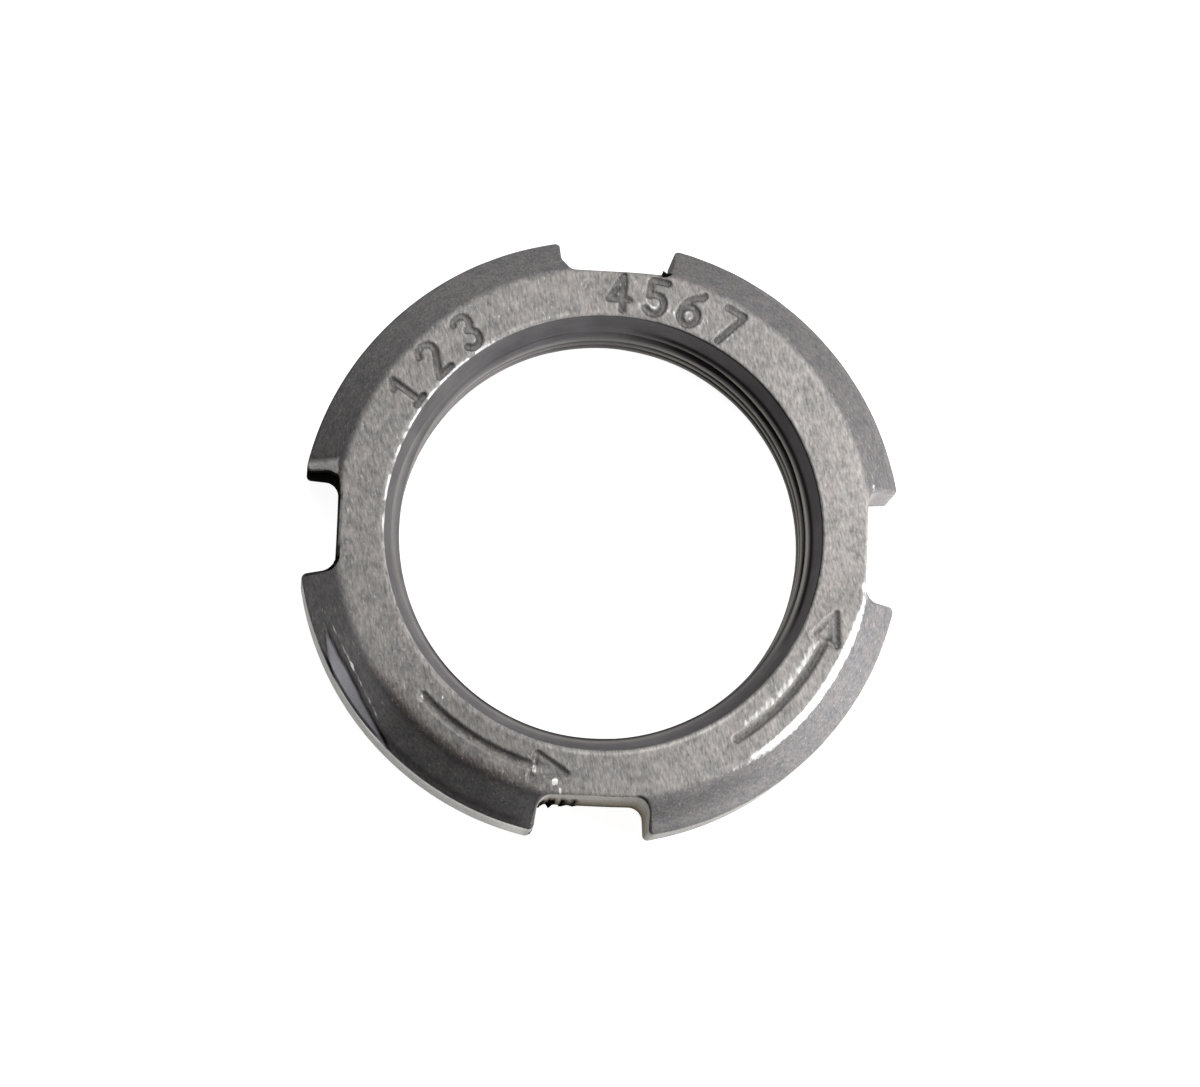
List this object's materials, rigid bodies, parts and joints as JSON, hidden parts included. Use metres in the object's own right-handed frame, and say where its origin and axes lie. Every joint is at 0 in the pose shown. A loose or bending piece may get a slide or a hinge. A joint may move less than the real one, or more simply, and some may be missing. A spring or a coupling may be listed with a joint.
{
  "type": "nut",
  "caption": "Round slotted lock nut with a raised collar, a recessed fine-threaded bore and spanner notches in its rim.",
  "frame": {"origin": "centre of the flat bearing face, on the thread's axis", "axes": "+Z along the thread's axis, out of the collared outer face; X and Y each pass through the middle of two spanner notches"},
  "size_m": [0.0588, 0.0588, 0.0115],
  "materials": {
    "steel": "satin cast steel, machined in the bore"
  },
  "bodies": {
    "root": {"slotted_nut": "steel"}
  },
  "joints": []
}
